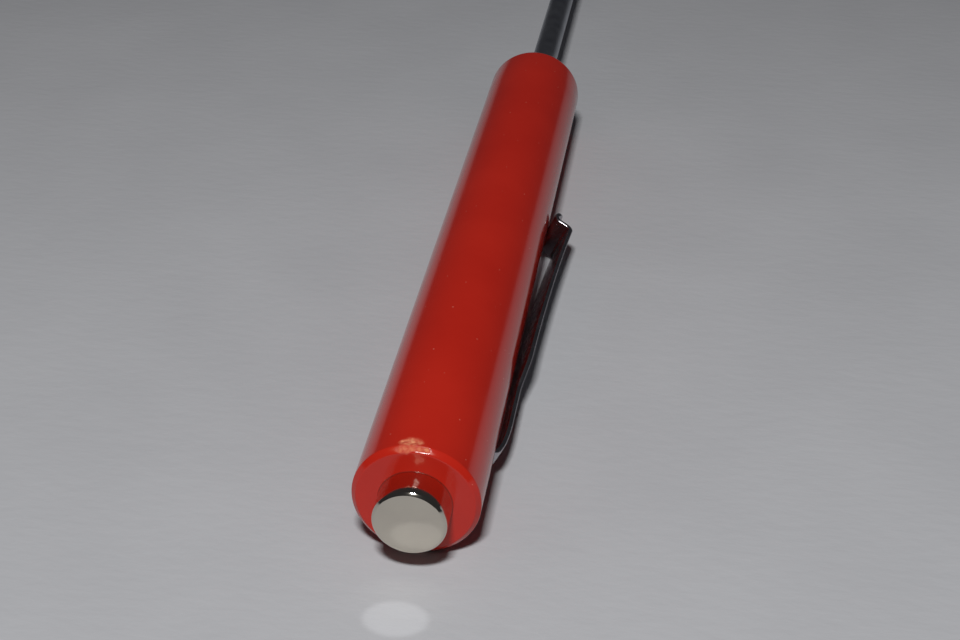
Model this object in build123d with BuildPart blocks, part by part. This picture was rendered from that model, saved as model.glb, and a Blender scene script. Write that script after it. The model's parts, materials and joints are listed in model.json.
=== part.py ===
"""Pocket screwdriver: round plastic handle, pick-up magnet in the butt, pocket clip, reversible blade.

Millimetres. The origin is the centre of the magnet's working face. +Y runs along the tool to the
blade, +Z is up as the tool lies on a table, and the clip stands out on the +X side, a little low.
"""

from build123d import *
from math import cos, radians, sin
import os

inch = 25.4

# Handle
handle_radius = 7 / 32 * inch
handle_length = 3.375 * inch
butt_chamfer = 0.45
nose_round = 0.9

# Magnet and the adhesive that holds it
magnet_radius = 1 / 8 * inch
magnet_length = 3 / 8 * inch
magnet_proud = 3.0
magnet_bevel = 0.22
bond_film = 0.06
bond_back = 0.4
bond_below_face = 0.05

# Blade, the same length either side of its hexagonal key
shank_radius = 1 / 16 * inch
blade_reach = 2 * inch
key_length = 12.0
key_flats = 3.5
detent_groove_radius = 1.55
detent_groove_width = 1.0
slot_tip_thickness = 0.6
slot_tip_taper = 9.0
slot_tip_width = 3.0
cross_tip_length = 3.2
cross_tip_radius = 0.45
cross_web = 0.7

# Steel socket pressed into the nose, with the spring ring that holds the blade
socket_radius = 3.0
socket_length = 16.0
key_clearance = 0.05
ring_groove_radius = 2.6
ring_groove_width = 1.0
ring_inner_radius = 2.12
ring_outer_radius = 2.5
ring_width = 0.7
ring_gap_degrees = 40
blade_bore_radius = 2.2
blade_end_gap = 0.15

# Pocket clip, a spring strip; distances along it are measured from the butt face
clip_angle = 116.2
clip_width = 4.5
clip_thickness = 0.5
clip_neck_width = 1.8
clip_neck_end = 21.5
clip_shoulder_end = 25.0
clip_root = 10.3
clip_tang_depth = 3.1
clip_root_sink = 0.5
clip_root_bend = 0.8
clip_root_turn = 70
clip_root_height = 0.8
clip_hinge = 16.0
clip_hinge_gap = 0.05
clip_sweep = 36.0
clip_knee = 52.0
clip_knee_height = 2.2
clip_knee_turn = 80
clip_knee_bend = 0.7
clip_heel_clearance = 0.12
clip_heel_turn = 100
clip_heel_bend = 0.7
clip_lip = 1.2
clip_corner_round = 0.9

butt_y = magnet_proud
nose_y = butt_y + handle_length
tip_y = nose_y + blade_reach
key_middle_y = nose_y - key_length / 2
blade_back_y = nose_y - key_length - blade_reach


def station(distance):
    """A plane square to the tool's axis, facing the blade."""
    return Plane(origin=(0, distance, 0), x_dir=(1, 0, 0), z_dir=(0, 1, 0))


# The clip's side view: x along the tool, y outwards from its axis.
outward = Vector(sin(radians(clip_angle)), 0, cos(radians(clip_angle)))
clip_plane = Plane(origin=(0, 0, 0), x_dir=(0, 1, 0), z_dir=Vector(0, 1, 0).cross(outward))
root_y = butt_y + clip_root
hinge_y = butt_y + clip_hinge
root_line = handle_radius + clip_root_height
hinge_point = (hinge_y, root_line)
clip_plan = Plane(origin=(0, 0, 0), x_dir=(0, 1, 0), z_dir=outward)
knee_point = (butt_y + clip_knee, handle_radius + clip_knee_height)

with BuildPart() as clip_tang:
    with BuildSketch(clip_plane):
        with BuildLine():
            tang = Line(
                (root_y, handle_radius - clip_tang_depth),
                (root_y, handle_radius - clip_root_sink),
            )
            bend = JernArc(tang @ 1, tang % 1, clip_root_bend, -clip_root_turn)
            rise = (root_line - (bend @ 1).Y) / (bend % 1).Y
            Bezier(bend @ 1, bend @ 1 + (bend % 1) * rise, (hinge_y - clip_hinge_gap, root_line))
        trace(line_width=clip_thickness)
    extrude(amount=clip_neck_width / 2, both=True)
clip_tang.part.label = "clip_tang"

with BuildPart() as clip_arm:
    with BuildSketch(clip_plane):
        with BuildLine():
            spring = Bezier(hinge_point, (butt_y + clip_sweep, root_line), knee_point)
            knee = JernArc(spring @ 1, spring % 1, clip_knee_bend, -clip_knee_turn)
            heel_drop = clip_heel_bend * (1 - (knee % 1).X)
            heel_line = handle_radius + clip_heel_clearance + clip_thickness / 2 + heel_drop
            leg_fall = (knee @ 1).Y - heel_line
            leg = Line(knee @ 1, knee @ 1 + (knee % 1) * (leg_fall / -(knee % 1).Y))
            heel = JernArc(leg @ 1, leg % 1, clip_heel_bend, clip_heel_turn)
            Line(heel @ 1, heel @ 1 + (heel % 1) * clip_lip)
        trace(line_width=clip_thickness)
    extrude(amount=clip_width / 2, both=True)
    lip_corners = clip_arm.edges().filter_by(lambda edge: abs(edge.length - clip_thickness) < 0.01)
    fillet(lip_corners.sort_by(Axis.Y)[-2:], clip_corner_round)
    # Plan view: a narrow neck at the root that widens to the full strip.
    with BuildSketch(clip_plan):
        with BuildLine():
            Polyline(
                (root_y, 0),
                (root_y, clip_neck_width / 2),
                (butt_y + clip_neck_end, clip_neck_width / 2),
                (butt_y + clip_shoulder_end, clip_width / 2),
                (nose_y, clip_width / 2),
                (nose_y, 0),
                close=True,
            )
        make_face()
        mirror(about=Plane(origin=(0, 0, 0), z_dir=clip_plane.z_dir))
    extrude(amount=3 * handle_radius, mode=Mode.INTERSECT)
clip_arm.part.label = "clip_arm"

with BuildPart() as magnet:
    with BuildSketch(station(0)):
        Circle(magnet_radius)
    extrude(amount=magnet_length)
    chamfer(magnet.edges(), magnet_bevel)
magnet.part.label = "magnet"

magnet_bore_radius = magnet_radius + bond_film
magnet_bore_end = magnet_length + bond_back

with BuildPart() as magnet_adhesive:
    with BuildSketch(station(butt_y + bond_below_face)):
        Circle(magnet_bore_radius)
    extrude(amount=magnet_bore_end - butt_y - bond_below_face)
    add(magnet.part, mode=Mode.SUBTRACT)
magnet_adhesive.part.label = "magnet_adhesive"

with BuildPart() as blade_socket:
    with BuildSketch(station(nose_y - socket_length)):
        Circle(socket_radius)
    extrude(amount=socket_length)
    with BuildSketch(station(nose_y - socket_length)):
        RegularPolygon(key_flats / 2 + key_clearance, 6, major_radius=False)
    extrude(amount=socket_length, mode=Mode.SUBTRACT)
    with BuildSketch(station(key_middle_y - ring_groove_width / 2)):
        Circle(ring_groove_radius)
    extrude(amount=ring_groove_width, mode=Mode.SUBTRACT)
blade_socket.part.label = "blade_socket"

with BuildPart() as detent_ring:
    with BuildSketch(Plane.YZ):
        with Locations((key_middle_y, (ring_inner_radius + ring_outer_radius) / 2)):
            Rectangle(ring_width, ring_outer_radius - ring_inner_radius)
    revolve(axis=Axis.Y, revolution_arc=360 - ring_gap_degrees)
    fillet(detent_ring.edges().filter_by(GeomType.CIRCLE), 0.1)
detent_ring.part.label = "detent_ring"

with BuildPart() as blade:
    with BuildSketch(station(blade_back_y)):
        Circle(shank_radius)
    extrude(amount=tip_y - blade_back_y)
    with BuildSketch(station(nose_y - key_length)):
        RegularPolygon(key_flats / 2, 6, major_radius=False)
    extrude(amount=key_length)
    with BuildSketch(station(key_middle_y - detent_groove_width / 2)):
        Circle(2 * shank_radius)
        Circle(detent_groove_radius, mode=Mode.SUBTRACT)
    extrude(amount=detent_groove_width, mode=Mode.SUBTRACT)
    # Slotted tip: a wedge ground on both faces, its corners narrowed to the tip's width.
    with BuildSketch(Plane.YZ):
        with BuildLine():
            Polyline(
                (tip_y - slot_tip_taper, shank_radius),
                (tip_y, slot_tip_thickness / 2),
                (tip_y, 2 * shank_radius),
                (tip_y - slot_tip_taper, 2 * shank_radius),
                close=True,
            )
        make_face()
        mirror(about=Plane.XZ)
    extrude(amount=2 * shank_radius, both=True, mode=Mode.SUBTRACT)
    with BuildSketch(Plane.XY):
        with Locations((0, tip_y)):
            with GridLocations(slot_tip_width + 2 * shank_radius, 1, 2, 1):
                Rectangle(2 * shank_radius, slot_tip_taper)
    extrude(amount=2 * shank_radius, both=True, mode=Mode.SUBTRACT)
    # Cross tip at the other end: a blunt cone with four flutes.
    with BuildSketch(Plane.YZ):
        with BuildLine():
            Polyline(
                (blade_back_y, cross_tip_radius),
                (blade_back_y + cross_tip_length, shank_radius),
                (blade_back_y + cross_tip_length, 2 * shank_radius),
                (blade_back_y, 2 * shank_radius),
                close=True,
            )
        make_face()
    revolve(axis=Axis.Y, mode=Mode.SUBTRACT)
    with BuildSketch(station(blade_back_y)):
        with GridLocations(2 * shank_radius + cross_web, 2 * shank_radius + cross_web, 2, 2):
            Rectangle(2 * shank_radius, 2 * shank_radius)
    extrude(amount=cross_tip_length * 0.8, mode=Mode.SUBTRACT)
blade.part.label = "blade"

with BuildPart() as handle:
    with BuildSketch(station(butt_y)):
        Circle(handle_radius)
    extrude(amount=handle_length)
    chamfer(handle.edges().sort_by(Axis.Y)[0], butt_chamfer)
    fillet(handle.edges().sort_by(Axis.Y)[-1], nose_round)
    with BuildSketch(station(butt_y)):
        Circle(magnet_bore_radius)
    extrude(amount=magnet_bore_end - butt_y, mode=Mode.SUBTRACT)
    with BuildSketch(station(nose_y - socket_length)):
        Circle(socket_radius)
    extrude(amount=socket_length, mode=Mode.SUBTRACT)
    with BuildSketch(station(blade_back_y - blade_end_gap)):
        Circle(blade_bore_radius)
    extrude(amount=nose_y - blade_back_y + blade_end_gap, mode=Mode.SUBTRACT)
    add(clip_tang.part, mode=Mode.SUBTRACT)
handle.part.label = "handle"

os.makedirs("parts", exist_ok=True)
for piece in (handle, magnet, magnet_adhesive, clip_tang, clip_arm, blade_socket, detent_ring, blade):
    export_step(piece.part, f"parts/{piece.part.label}.step")
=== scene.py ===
"""Looks of a pocket screwdriver with a pick-up magnet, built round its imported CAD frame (metres)."""

import json
import math

import bmesh
import bpy
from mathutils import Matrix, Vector, noise


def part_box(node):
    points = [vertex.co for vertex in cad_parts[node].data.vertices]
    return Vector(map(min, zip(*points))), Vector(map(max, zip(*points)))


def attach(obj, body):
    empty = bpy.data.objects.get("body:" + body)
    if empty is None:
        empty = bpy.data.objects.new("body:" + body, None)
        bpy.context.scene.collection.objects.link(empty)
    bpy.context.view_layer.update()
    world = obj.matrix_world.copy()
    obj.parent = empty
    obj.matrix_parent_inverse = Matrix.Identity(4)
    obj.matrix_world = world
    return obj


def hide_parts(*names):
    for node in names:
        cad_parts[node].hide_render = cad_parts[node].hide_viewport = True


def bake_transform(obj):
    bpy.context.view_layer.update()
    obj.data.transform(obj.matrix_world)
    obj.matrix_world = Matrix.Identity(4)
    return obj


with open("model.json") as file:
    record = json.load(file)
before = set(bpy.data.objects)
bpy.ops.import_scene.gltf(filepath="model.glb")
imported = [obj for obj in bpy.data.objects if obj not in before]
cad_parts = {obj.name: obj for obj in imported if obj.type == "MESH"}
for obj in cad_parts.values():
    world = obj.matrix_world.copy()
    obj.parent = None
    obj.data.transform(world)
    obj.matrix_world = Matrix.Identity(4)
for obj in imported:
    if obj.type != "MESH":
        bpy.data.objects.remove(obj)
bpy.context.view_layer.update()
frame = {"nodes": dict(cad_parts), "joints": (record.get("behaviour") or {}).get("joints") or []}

mm = 0.001

# Places and sizes that the frame gives
handle_low, handle_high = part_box("handle")
_, magnet_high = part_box("magnet")
_, bond_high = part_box("magnet_adhesive")
socket_low, socket_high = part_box("blade_socket")
blade_low, blade_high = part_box("blade")
handle_radius = handle_high.z
butt_y = handle_low.y
nose_y = handle_high.y
magnet_radius = magnet_high.z
magnet_bore_radius = bond_high.z
magnet_bore_end = bond_high.y
socket_radius = socket_high.z
floor_z = -handle_radius
hinge = next(joint for joint in frame["joints"] if joint["name"] == "clip_flex")
hinge_point = Vector(hinge["pos_m"])
hinge_axis = Vector(hinge["axis"]).normalized()
clip_outward = Vector((-hinge_axis.z, 0, hinge_axis.x))
along = Vector((0, 1, 0))

# Round shapes close on the axis with a circle of this radius
pole_radius = 0.02 * mm

magnet_bevel = 0.22 * mm

# Clip, a bent strip: narrow where it enters the handle, wider past the root
clip_thickness = 0.5 * mm
clip_width = 4.5 * mm
clip_neck_width = 1.8 * mm
clip_neck_end = butt_y + 21.5 * mm
clip_shoulder_end = butt_y + 25 * mm
slot_gap = 0.06 * mm
clip_root_y = butt_y + 10.3 * mm
clip_tang_depth = 3.1 * mm
clip_root_sink = 0.5 * mm
clip_root_bend = 0.8 * mm
clip_root_turn = math.radians(70)
clip_root_line = handle_radius + 0.8 * mm
clip_knee_y = butt_y + 52 * mm
clip_sweep_y = butt_y + 36 * mm
clip_knee_line = handle_radius + 2.2 * mm
clip_bend = 0.7 * mm
clip_knee_turn = math.radians(80)
clip_heel_turn = math.radians(100)
clip_lip = 1.2 * mm
clip_heel_clearance = 0.12 * mm
clip_round_end = 0.9 * mm


# Mesh building


def make_object(name, vertices, faces, material, sharp_angle=32):
    """A closed mesh with outward faces, smooth except at its real edges."""
    mesh = bpy.data.meshes.new(name)
    mesh.from_pydata([tuple(point) for point in vertices], [], faces)
    tidy = bmesh.new()
    tidy.from_mesh(mesh)
    bmesh.ops.recalc_face_normals(tidy, faces=tidy.faces)
    tidy.to_mesh(mesh)
    tidy.free()
    mesh.shade_smooth()
    mesh.set_sharp_from_angle(angle=math.radians(sharp_angle))
    mesh.materials.append(material)
    made = bpy.data.objects.new(name, mesh)
    bpy.context.scene.collection.objects.link(made)
    return made


def loft(rings):
    """Vertices and faces of a skin through rings of equal length, with a cap on each end."""
    count = len(rings[0])
    vertices = [point for ring in rings for point in ring]
    faces = []
    for start in range(0, (len(rings) - 1) * count, count):
        for k in range(count):
            nxt = (k + 1) % count
            faces.append((start + k, start + nxt, start + count + nxt, start + count + k))
    faces.append(tuple(range(count)))
    faces.append(tuple(range(len(vertices) - count, len(vertices))))
    return vertices, faces


def rounded(corners, radii, steps=6):
    """The corners as a line whose inner corners are rounded, each by its own radius."""
    line = [Vector(corners[0])]
    for before, corner, after, radius in zip(corners, corners[1:], corners[2:], radii):
        corner = Vector(corner)
        back = Vector(before) - corner
        on = Vector(after) - corner
        turn = math.pi - back.angle(on)
        reach = min(radius * math.tan(turn / 2), back.length / 2, on.length / 2)
        first = corner + back.normalized() * reach
        last = corner + on.normalized() * reach
        for k in range(steps + 1):
            u = k / steps
            line.append(first * (1 - u) ** 2 + corner * 2 * u * (1 - u) + last * u * u)
    line.append(Vector(corners[-1]))
    return line


def refined(line, low, high, spacing):
    """The line with extra points, so that its steps between low and high along y are short."""
    result = [line[0]]
    for a, b in zip(line, line[1:]):
        near = low <= min(a.x, b.x) and max(a.x, b.x) <= high
        pieces = max(1, round((b - a).length / spacing)) if near else 1
        result += [a.lerp(b, (k + 1) / pieces) for k in range(pieces)]
    return result


def round_ring(distance, radius, count):
    """A circle about the tool's axis, from the top round by the clip's side."""
    angles = [2 * math.pi * k / count for k in range(count)]
    return [Vector((radius * math.sin(a), distance, radius * math.cos(a))) for a in angles]


# Materials


def new_material(name, **sockets):
    """A material with its principled shader, whose plain sockets are set by name."""
    material = bpy.data.materials.new(name)
    material.use_nodes = True
    shader = material.node_tree.nodes["Principled BSDF"]
    for socket, value in sockets.items():
        shader.inputs[socket.replace("_", " ")].default_value = value
    return material, material.node_tree, shader


def noise_node(tree, scale, detail=3.0, stretch=(1, 1, 1), distortion=0.0):
    """Noise in the row frame, finer along an axis with a larger stretch."""
    place = tree.nodes.new("ShaderNodeTexCoord")
    mapping = tree.nodes.new("ShaderNodeMapping")
    mapping.inputs["Scale"].default_value = stretch
    texture = tree.nodes.new("ShaderNodeTexNoise")
    texture.inputs["Scale"].default_value = scale
    texture.inputs["Detail"].default_value = detail
    texture.inputs["Distortion"].default_value = distortion
    tree.links.new(place.outputs["Object"], mapping.inputs["Vector"])
    tree.links.new(mapping.outputs["Vector"], texture.inputs["Vector"])
    return texture.outputs["Fac"]


def ramp(tree, value, stops):
    """Colours or greys that follow a value: stops are (position, colour)."""
    node = tree.nodes.new("ShaderNodeValToRGB")
    while len(node.color_ramp.elements) < len(stops):
        node.color_ramp.elements.new(0.5)
    for element, (position, colour) in zip(node.color_ramp.elements, stops):
        element.position = position
        element.color = colour if isinstance(colour, tuple) else (colour, colour, colour, 1)
    tree.links.new(value, node.inputs["Fac"])
    return node.outputs["Color"]


def mixed(tree, factor, first, second):
    """Two colours mixed by a factor."""
    node = tree.nodes.new("ShaderNodeMix")
    node.data_type = "RGBA"
    tree.links.new(factor, node.inputs["Factor"])
    for socket, value in (("A", first), ("B", second)):
        target = next(s for s in node.inputs if s.name == socket and s.type == "RGBA")
        if isinstance(value, tuple):
            target.default_value = value
        else:
            tree.links.new(value, target)
    return next(s for s in node.outputs if s.type == "RGBA")


def bumped(tree, shader, height, strength, distance):
    """Adds a height to the shader's bump, over what is there already."""
    node = tree.nodes.new("ShaderNodeBump")
    node.inputs["Strength"].default_value = strength
    node.inputs["Distance"].default_value = distance
    tree.links.new(height, node.inputs["Height"])
    if shader.inputs["Normal"].links:
        tree.links.new(shader.inputs["Normal"].links[0].from_socket, node.inputs["Normal"])
    tree.links.new(node.outputs["Normal"], shader.inputs["Normal"])


def red_plastic():
    """Glossy red acetate, with pale crushed plastic where the scuff attribute is high."""
    material, tree, shader = new_material("red_acetate", IOR=1.48)
    deep = (0.50, 0.017, 0.008, 1)
    light = (0.55, 0.021, 0.010, 1)
    fleck = (0.85, 0.30, 0.22, 1)
    crushed = (0.95, 0.42, 0.21, 1)
    matt_grey = (0.9, 0.9, 0.9, 1)
    cloud = ramp(tree, noise_node(tree, 120), [(0.3, deep), (0.7, light)])
    specks = ramp(tree, noise_node(tree, 2600, 1), [(0.79, 0.0), (0.81, 0.6)])
    speckled = mixed(tree, specks, cloud, fleck)
    scuff = tree.nodes.new("ShaderNodeAttribute")
    scuff.attribute_name = "scuff"
    grit = ramp(tree, noise_node(tree, 3500, 4), [(0.35, 0.35), (0.65, 1.0)])
    crush = tree.nodes.new("ShaderNodeMath")
    crush.operation = "MULTIPLY"
    tree.links.new(scuff.outputs["Fac"], crush.inputs[0])
    tree.links.new(grit, crush.inputs[1])
    colour = mixed(tree, crush.outputs[0], speckled, crushed)
    tree.links.new(colour, shader.inputs["Base Color"])
    gloss = ramp(tree, noise_node(tree, 300, 4), [(0.3, 0.10), (0.7, 0.16)])
    matt = ramp(tree, scuff.outputs["Fac"], [(0.02, 0.0), (0.3, 1.0)])
    tree.links.new(mixed(tree, matt, gloss, matt_grey), shader.inputs["Roughness"])
    bumped(tree, shader, noise_node(tree, 700, 3, (1, 0.1, 1)), 0.25, 0.00002)
    bumped(tree, shader, noise_node(tree, 5000, 2), 0.12, 0.00001)
    return material


def plated_metal(name, low, high, roughness, grain=(1, 1, 1), grain_scale=900, depth=0.000004):
    """Bright metal whose shade, gloss and fine grain vary a little."""
    material, tree, shader = new_material(name, Metallic=1.0)
    shade = ramp(tree, noise_node(tree, 250, 4), [(0.35, low), (0.65, high)])
    tree.links.new(shade, shader.inputs["Base Color"])
    gloss = ramp(tree, noise_node(tree, 600, 5), [(0.3, roughness[0]), (0.7, roughness[1])])
    tree.links.new(gloss, shader.inputs["Roughness"])
    bumped(tree, shader, noise_node(tree, grain_scale, 3, grain), 0.3, depth)
    return material


def glue():
    """Adhesive coloured like the plastic round it, slightly rippled."""
    material, tree, shader = new_material("clear_glue", IOR=1.5, Roughness=0.25)
    deep = (0.30, 0.014, 0.008, 1)
    light = (0.38, 0.024, 0.014, 1)
    shade = ramp(tree, noise_node(tree, 900, 2), [(0.3, deep), (0.7, light)])
    tree.links.new(shade, shader.inputs["Base Color"])
    bumped(tree, shader, noise_node(tree, 1500, 2), 0.4, 0.00003)
    return material


def paper():
    """Pale grey table covering with a faint fibre grain."""
    material, tree, shader = new_material("pale_paper", Roughness=0.75)
    deep = (0.495, 0.50, 0.52, 1)
    light = (0.525, 0.53, 0.55, 1)
    shade = ramp(tree, noise_node(tree, 60, 5), [(0.3, deep), (0.7, light)])
    tree.links.new(shade, shader.inputs["Base Color"])
    bumped(tree, shader, noise_node(tree, 900, 4, (0.5, 1, 1)), 0.5, 0.00010)
    return material


# Handle

segments = 480
butt_chamfer = 0.45 * mm
nose_rounding = 0.9 * mm
scuff_depth = 0.14 * mm
scuff_reach = 3
ragged = 0.35
ragged_scale = 1300

# Crushed patches at the top of the butt's rim: the way round the rim and back from the corner to the
# middle of each, its half width and half depth, all in mm, and how badly it is crushed
scuff_patches = (
    (-0.40, 0.92, 0.85, 0.58, 1.00),
    (-0.15, 0.05, 1.65, 0.42, 0.50),
    (1.15, 0.10, 0.30, 0.30, 0.95),
    (0.50, -1.00, 0.50, 0.55, 0.16),
)


def scuff_at(point):
    """How badly the rim is crushed at a point, from 0 to 1."""
    radius = math.hypot(point.x, point.z)
    round_rim = math.atan2(point.x, point.z) * handle_radius / mm
    back = (point.y - butt_y - handle_radius + radius) / mm
    if abs(round_rim) > scuff_reach or abs(back) > scuff_reach:
        return 0.0
    round_rim += ragged * noise.noise(point * ragged_scale)
    back += ragged * noise.noise(point * ragged_scale + Vector((7, 7, 7)))
    level = 0.0
    for middle, depth, half_width, half_depth, strength in scuff_patches:
        away = ((round_rim - middle) / half_width) ** 2 + ((back - depth) / half_depth) ** 2
        level = max(level, strength * math.exp(-away * away))
    return min(1.0, level * (0.8 + 0.5 * noise.noise(point * 3000)))


def make_handle(material):
    """The red rod: magnet bore and chamfered rim at the butt, rounded nose with the socket's bore."""
    blade_bore = 2.2 * mm
    mouth = 0.02 * mm
    chamfer_edge = 0.22 * mm
    bore_step = 0.05 * mm
    bore_bottom = 0.1 * mm
    spacing = 0.09 * mm
    straight = 20 * mm
    inset = 6 * mm
    corners = [
        (magnet_bore_end, pole_radius),
        (magnet_bore_end, magnet_bore_radius),
        (butt_y, magnet_bore_radius),
        (butt_y, handle_radius - butt_chamfer),
        (butt_y + butt_chamfer, handle_radius),
        (nose_y, handle_radius),
        (nose_y, socket_radius),
        (socket_low.y, socket_radius),
        (socket_low.y, blade_bore),
        (blade_low.y, blade_bore),
        (blade_low.y, pole_radius),
    ]
    radii = [bore_bottom, mouth, chamfer_edge, chamfer_edge, nose_rounding, mouth]
    radii += [bore_step, bore_step, bore_bottom]
    profile = refined(rounded(corners, radii), butt_y - mm, butt_y + 0.5 * mm, spacing)
    sides = []
    for point in profile:
        if sides and abs(point.x - sides[-1].x) > straight and point.y > socket_radius:
            extra = [butt_y + step * spacing for step in range(7, 30)]
            extra += [butt_y + inset, nose_y - inset]
            sides += [Vector((y, handle_radius)) for y in extra]
        sides.append(point)
    vertices, faces = loft([round_ring(point.x, point.y, segments) for point in sides])
    levels = [scuff_at(point) for point in vertices]
    for point, level in zip(vertices, levels):
        if level > 0:
            inward = Vector((-point.x, 0, -point.z)).normalized() + Vector((0, 0.7, 0))
            point += inward.normalized() * scuff_depth * level * (0.5 + noise.noise(point * 4200))
    handle = make_object("handle_body", vertices, faces, material)
    scuff = handle.data.attributes.new("scuff", "FLOAT", "POINT")
    scuff.data.foreach_set("value", levels)
    cut_slot(handle)
    return handle


def cut_slot(handle):
    """Cuts the narrow slot that the clip's tang goes into."""
    line = [point for point in clip_path() if point.x < clip_root_y + 3 * mm]
    cutter = make_object("slot_cutter", *loft(strip_rings(line, slot_gap)), handle.data.materials[0])
    cut = handle.modifiers.new("slot", "BOOLEAN")
    cut.operation = "DIFFERENCE"
    cut.object = cutter
    cut.solver = "EXACT"
    bpy.context.view_layer.objects.active = handle
    bpy.ops.object.modifier_apply(modifier=cut.name)
    bpy.data.objects.remove(cutter)


# Magnet and adhesive


def make_magnet(material):
    """Plated disc with a bevel at each end, its corners barely broken."""
    corners = [
        (0, pole_radius),
        (0, magnet_radius - magnet_bevel),
        (magnet_bevel, magnet_radius),
        (magnet_high.y - magnet_bevel, magnet_radius),
        (magnet_high.y, magnet_radius - magnet_bevel),
        (magnet_high.y, pole_radius),
    ]
    profile = rounded(corners, [0.12 * mm] * 4, 4)
    rings = [round_ring(point.x, point.y, 192) for point in profile]
    return make_object("magnet_disc", *loft(rings), material, 9)


def make_adhesive(material):
    """Glue film that fills the bore round the magnet and ends just short of the handle's face."""
    clearance = 0.004 * mm
    inner = magnet_radius + clearance
    outer = magnet_bore_radius - clearance
    below_face = 0.01 * mm
    ripple = 0.01 * mm
    count = 192
    rings = []
    for distance, radius in (
        (bond_high.y, pole_radius),
        (bond_high.y, outer),
        (butt_y + below_face, outer),
        (butt_y + 1.5 * below_face, (inner + outer) / 2),
        (butt_y + below_face, inner),
        (magnet_high.y + 0.01 * mm, inner),
        (magnet_high.y + 0.01 * mm, pole_radius),
    ):
        ring = round_ring(distance, radius, count)
        if distance < butt_y + 0.1 * mm:
            for point in ring:
                point.y += ripple * noise.noise(point * 1500)
        rings.append(ring)
    return make_object("magnet_glue", *loft(rings), material)


# Clip


def arc(start, direction, radius, turn, steps):
    """Points after start on an arc that leaves it in a direction; a positive turn is anticlockwise."""
    side = Vector((-direction.y, direction.x)) * (1 if turn > 0 else -1)
    centre = start + side * radius
    points = []
    for k in range(1, steps + 1):
        angle = turn * k / steps
        spoke = start - centre
        points.append(centre + Vector((
            spoke.x * math.cos(angle) - spoke.y * math.sin(angle),
            spoke.x * math.sin(angle) + spoke.y * math.cos(angle),
        )))
    final = Vector((
        direction.x * math.cos(turn) - direction.y * math.sin(turn),
        direction.x * math.sin(turn) + direction.y * math.cos(turn),
    ))
    return points, final


def curve(first, pull, last, steps):
    """Points after first on a curve to last that leaves and arrives in line with pull."""
    shares = [k / steps for k in range(1, steps + 1)]
    return [first * (1 - u) ** 2 + pull * 2 * u * (1 - u) + last * u * u for u in shares]


def clip_path():
    """The strip's middle line in its own plane: x along the tool, y outwards from the axis."""
    line = [Vector((clip_root_y, handle_radius - clip_tang_depth))]
    line.append(Vector((clip_root_y, handle_radius - clip_root_sink)))
    bend, rising = arc(line[-1], Vector((0, 1)), clip_root_bend, -clip_root_turn, 10)
    line += bend
    pull = bend[-1] + rising * ((clip_root_line - bend[-1].y) / rising.y)
    line += curve(bend[-1], pull, Vector((hinge_point.y, clip_root_line)), 20)
    pull = Vector((clip_sweep_y, clip_root_line))
    last = Vector((clip_knee_y, clip_knee_line))
    line += curve(line[-1], pull, last, 72)
    knee, falling = arc(last, (last - pull).normalized(), clip_bend, -clip_knee_turn, 12)
    line += knee
    heel_line = handle_radius + clip_heel_clearance + clip_thickness / 2 + clip_bend * (1 - falling.x)
    leg = knee[-1] + falling * ((knee[-1].y - heel_line) / -falling.y)
    line.append(leg)
    heel, rising = arc(leg, falling, clip_bend, clip_heel_turn, 14)
    line += heel
    line += [heel[-1] + rising * clip_lip * k / 8 for k in range(1, 9)]
    return line


def strip_section(width, thickness, corner, per_corner=5):
    """A rounded rectangle as (across, outwards) points."""
    points = []
    for quarter, (sx, sy) in enumerate(((1, 1), (-1, 1), (-1, -1), (1, -1))):
        for k in range(per_corner):
            angle = math.pi / 2 * (quarter + k / (per_corner - 1))
            across = sx * (width / 2 - corner) + corner * math.cos(angle)
            outwards = sy * (thickness / 2 - corner) + corner * math.sin(angle)
            points.append((across, outwards))
    return points


def strip_width(distance):
    """The strip's width at a distance along the tool."""
    widening = (distance - clip_neck_end) / (clip_shoulder_end - clip_neck_end)
    return clip_neck_width + (clip_width - clip_neck_width) * min(max(widening, 0), 1)


def strip_rings(line, grow=0.0):
    """Sections of the strip along its path, larger all round by grow."""
    end = line[-1]
    rings = []
    for k, point in enumerate(line):
        ahead = (line[min(k + 1, len(line) - 1)] - line[max(k - 1, 0)]).normalized()
        normal = Vector((-ahead.y, ahead.x))
        width = strip_width(point.x)
        left = (end - point).length
        if point.x > clip_knee_y and k > len(line) - 12 and left < clip_round_end:
            width -= 2 * (clip_round_end - math.sqrt(clip_round_end**2 - (clip_round_end - left) ** 2))
        ring = []
        for across, outwards in strip_section(width + 2 * grow, clip_thickness + 2 * grow, 0.13 * mm):
            side = point + normal * outwards
            ring.append(along * side.x + clip_outward * side.y + hinge_axis * across)
        rings.append(ring)
    return rings


def make_clip(material):
    """The whole spring strip, tang to lip, in one smooth piece."""
    return make_object("pocket_clip", *loft(strip_rings(clip_path())), material, 40)


# Blade


def section_ring(distance, radius_at, count=192):
    """A closed section about the tool's axis whose radius depends on the angle from +X."""
    angles = [2 * math.pi * k / count for k in range(count)]
    return [Vector((radius_at(a) * math.cos(a), distance, radius_at(a) * math.sin(a))) for a in angles]


def limited(radius, half_x=1, half_z=1):
    """The radius of a circle cut down to a bar whose half sizes are half_x and half_z."""
    def at(angle):
        across = half_x / max(abs(math.cos(angle)), 1e-6)
        up = half_z / max(abs(math.sin(angle)), 1e-6)
        return min(radius, across, up)
    return at


def crossed(radius, web):
    """The radius of a circle cut down to a cross whose arms are 2 * web thick."""
    def at(angle):
        across = web / max(abs(math.cos(angle)), 1e-6)
        up = web / max(abs(math.sin(angle)), 1e-6)
        return min(radius, max(across, up))
    return at


def hexagon(flats, corner_cut):
    """The radius of a hexagon across its flats, its corners turned down to corner_cut."""
    def at(angle):
        turn = (angle + math.pi / 6) % (math.pi / 3) - math.pi / 6
        return min(flats / 2 / math.cos(turn), corner_cut)
    return at


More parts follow.
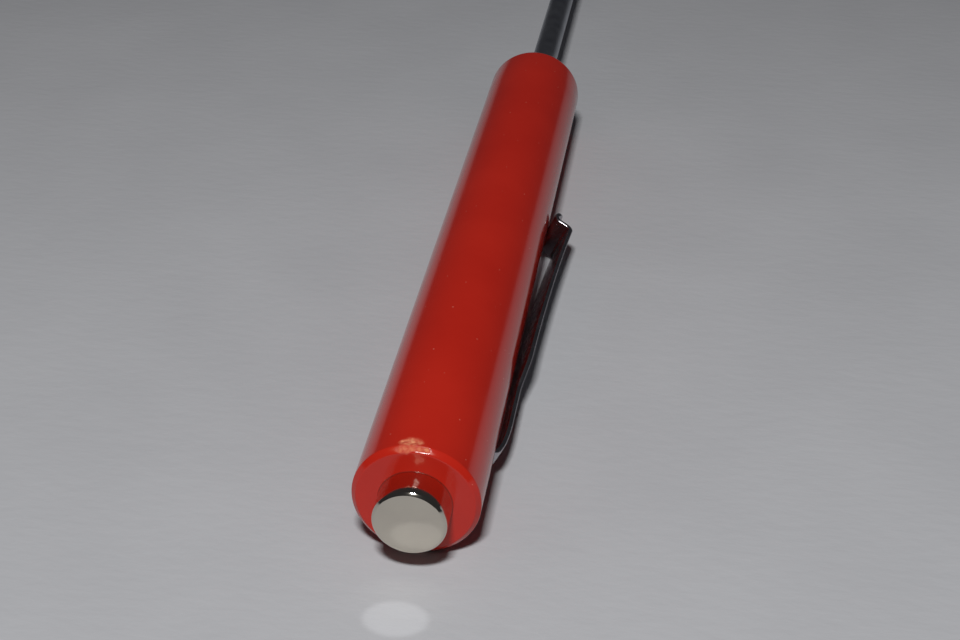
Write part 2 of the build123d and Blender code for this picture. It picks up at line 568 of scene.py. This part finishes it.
def make_blade(material):
    """Double-ended blade: slotted tip, round shank, hexagonal key with a detent groove, cross tip."""
    radius = 1.5875 * mm
    key_start = nose_y - 12 * mm
    key_middle = (key_start + nose_y) / 2
    groove = 0.5 * mm
    groove_radius = 1.55 * mm
    key_flats = 3.5 * mm
    key_corner = 2.02 * mm
    break_edge = 0.25 * mm
    cross_point = 0.5 * mm
    cross_root = 1.36 * mm
    cross_web = 0.35 * mm
    cross_length = 2.56 * mm
    seam = 0.001 * mm
    taper = 9 * mm
    half_tip = 0.3 * mm
    half_tip_width = 1.5 * mm
    tip = blade_high.y
    back = blade_low.y
    circle = limited(radius)
    full_key = hexagon(key_flats, key_corner)
    broken_key = hexagon(key_flats, radius + 0.1 * mm)
    in_groove = limited(groove_radius)
    rings = [
        section_ring(back, crossed(0.40 * mm, 0.32 * mm)),
        section_ring(back + 0.1 * mm, crossed(cross_point, cross_web)),
    ]
    for k in range(1, 11):
        at = k / 10
        reach = cross_point + (cross_root - cross_point) * at
        rings.append(section_ring(back + cross_length * at, crossed(reach, cross_web)))
    rings.append(section_ring(back + cross_length + 0.01 * mm, limited(cross_root + 0.01 * mm)))
    rings.append(section_ring(back + 3.2 * mm, circle))
    for distance, shape in (
        (key_start, circle),
        (key_start + seam, broken_key),
        (key_start + break_edge, full_key),
        (key_middle - groove, full_key),
        (key_middle - groove + seam, in_groove),
        (key_middle + groove - seam, in_groove),
        (key_middle + groove, full_key),
        (nose_y - break_edge, full_key),
        (nose_y - seam, broken_key),
        (nose_y, circle),
        (nose_y + 20 * mm, circle),
    ):
        rings.append(section_ring(distance, shape))
    for k in range(31):
        at = k / 30
        half_z = radius + (half_tip - radius) * at
        half_x = radius - (radius - half_tip_width) * max(0, at * 2 - 1)
        rings.append(section_ring(tip - taper + taper * at, limited(radius, half_x, half_z)))
    return make_object("driver_blade", *loft(rings), material, 28)


# Surroundings


def make_floor(material):
    """The table that the tool lies on."""
    half = 1.5
    signs = ((-1, -1), (1, -1), (1, 1), (-1, 1))
    corners = [(half * x, half * y, floor_z) for x, y in signs]
    mesh = bpy.data.meshes.new("floor")
    mesh.from_pydata(corners, [], [(0, 1, 2, 3)])
    mesh.materials.append(material)
    floor = bpy.data.objects.new("floor", mesh)
    bpy.context.scene.collection.objects.link(floor)


def make_camera():
    """Looks down the tool from behind and above its butt."""
    camera = bpy.data.objects.new("camera", bpy.data.cameras.new("camera"))
    bpy.context.scene.collection.objects.link(camera)
    bpy.context.scene.camera = camera
    camera.location = (21.26 * mm, butt_y - 107.52 * mm, 85.23 * mm)
    camera.rotation_euler = Vector((-0.1237, 0.8428, -0.5238)).to_track_quat("-Z", "Y").to_euler()
    camera.data.lens = 61.8
    camera.data.sensor_width = 36
    camera.data.clip_start = 0.005
    camera.data.clip_end = 10


def make_flash():
    """A soft rectangular light above and behind the camera."""
    data = bpy.data.lights.new("flash", "AREA")
    data.shape = "RECTANGLE"
    data.size = 0.056
    data.size_y = 0.036
    data.energy = 1.11
    light = bpy.data.objects.new("flash", data)
    light.location = Vector((0.033, -0.507, 0.861)) * 0.36 + along * butt_y
    light.rotation_euler = (along * 30 * mm - light.location).to_track_quat("-Z", "Y").to_euler()
    bpy.context.scene.collection.objects.link(light)


def make_glow():
    """The soft patch that the magnet's bright face throws on the table in front of it."""
    data = bpy.data.lights.new("face_glow", "SPOT")
    data.energy = 0.006
    data.spot_size = math.radians(11.5)
    data.spot_blend = 0.45
    data.shadow_soft_size = 0.2 * mm
    light = bpy.data.objects.new("face_glow", data)
    light.location = (-0.25 * mm, -5.3 * mm, 25 * mm)
    light.scale = (1, 0.78, 1)
    bpy.context.scene.collection.objects.link(light)


def make_world(shade):
    """Dark surroundings, which the metal reflects."""
    world = bpy.data.worlds.new("dim_room")
    world.use_nodes = True
    world.node_tree.nodes["Background"].inputs["Color"].default_value = (*shade, 1)
    bpy.context.scene.world = world


make_camera()
make_world((0.030, 0.030, 0.033))
make_flash()
make_glow()
make_floor(paper())
bpy.context.scene.view_settings.view_transform = "Standard"

handle = make_handle(red_plastic())
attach(handle, "grip")
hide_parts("handle")

nickel = plated_metal("bright_nickel", (0.62, 0.57, 0.49, 1), (0.67, 0.62, 0.53, 1), (0.07, 0.11))
magnet = make_magnet(nickel)
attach(magnet, "grip")
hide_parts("magnet")

adhesive = make_adhesive(glue())
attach(adhesive, "grip")
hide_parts("magnet_adhesive")

dark_plate = plated_metal(
    "dark_plated_steel", (0.36, 0.34, 0.37, 1), (0.46, 0.44, 0.47, 1), (0.22, 0.30), (1, 0.12, 1)
)
clip = make_clip(dark_plate)
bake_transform(clip)
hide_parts("clip_tang", "clip_arm")

blade_steel = plated_metal(
    "blued_steel", (0.36, 0.38, 0.42, 1), (0.46, 0.48, 0.52, 1), (0.32, 0.42), (1, 6, 1), 1500
)
blade = make_blade(blade_steel)
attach(blade, "driver")
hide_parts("blade")

turned_steel = plated_metal(
    "turned_steel", (0.50, 0.50, 0.51, 1), (0.58, 0.58, 0.59, 1), (0.25, 0.35), (1, 8, 1), 1200
)
for node in ("blade_socket", "detent_ring"):
    frame["nodes"][node].material_slots[0].material = turned_steel
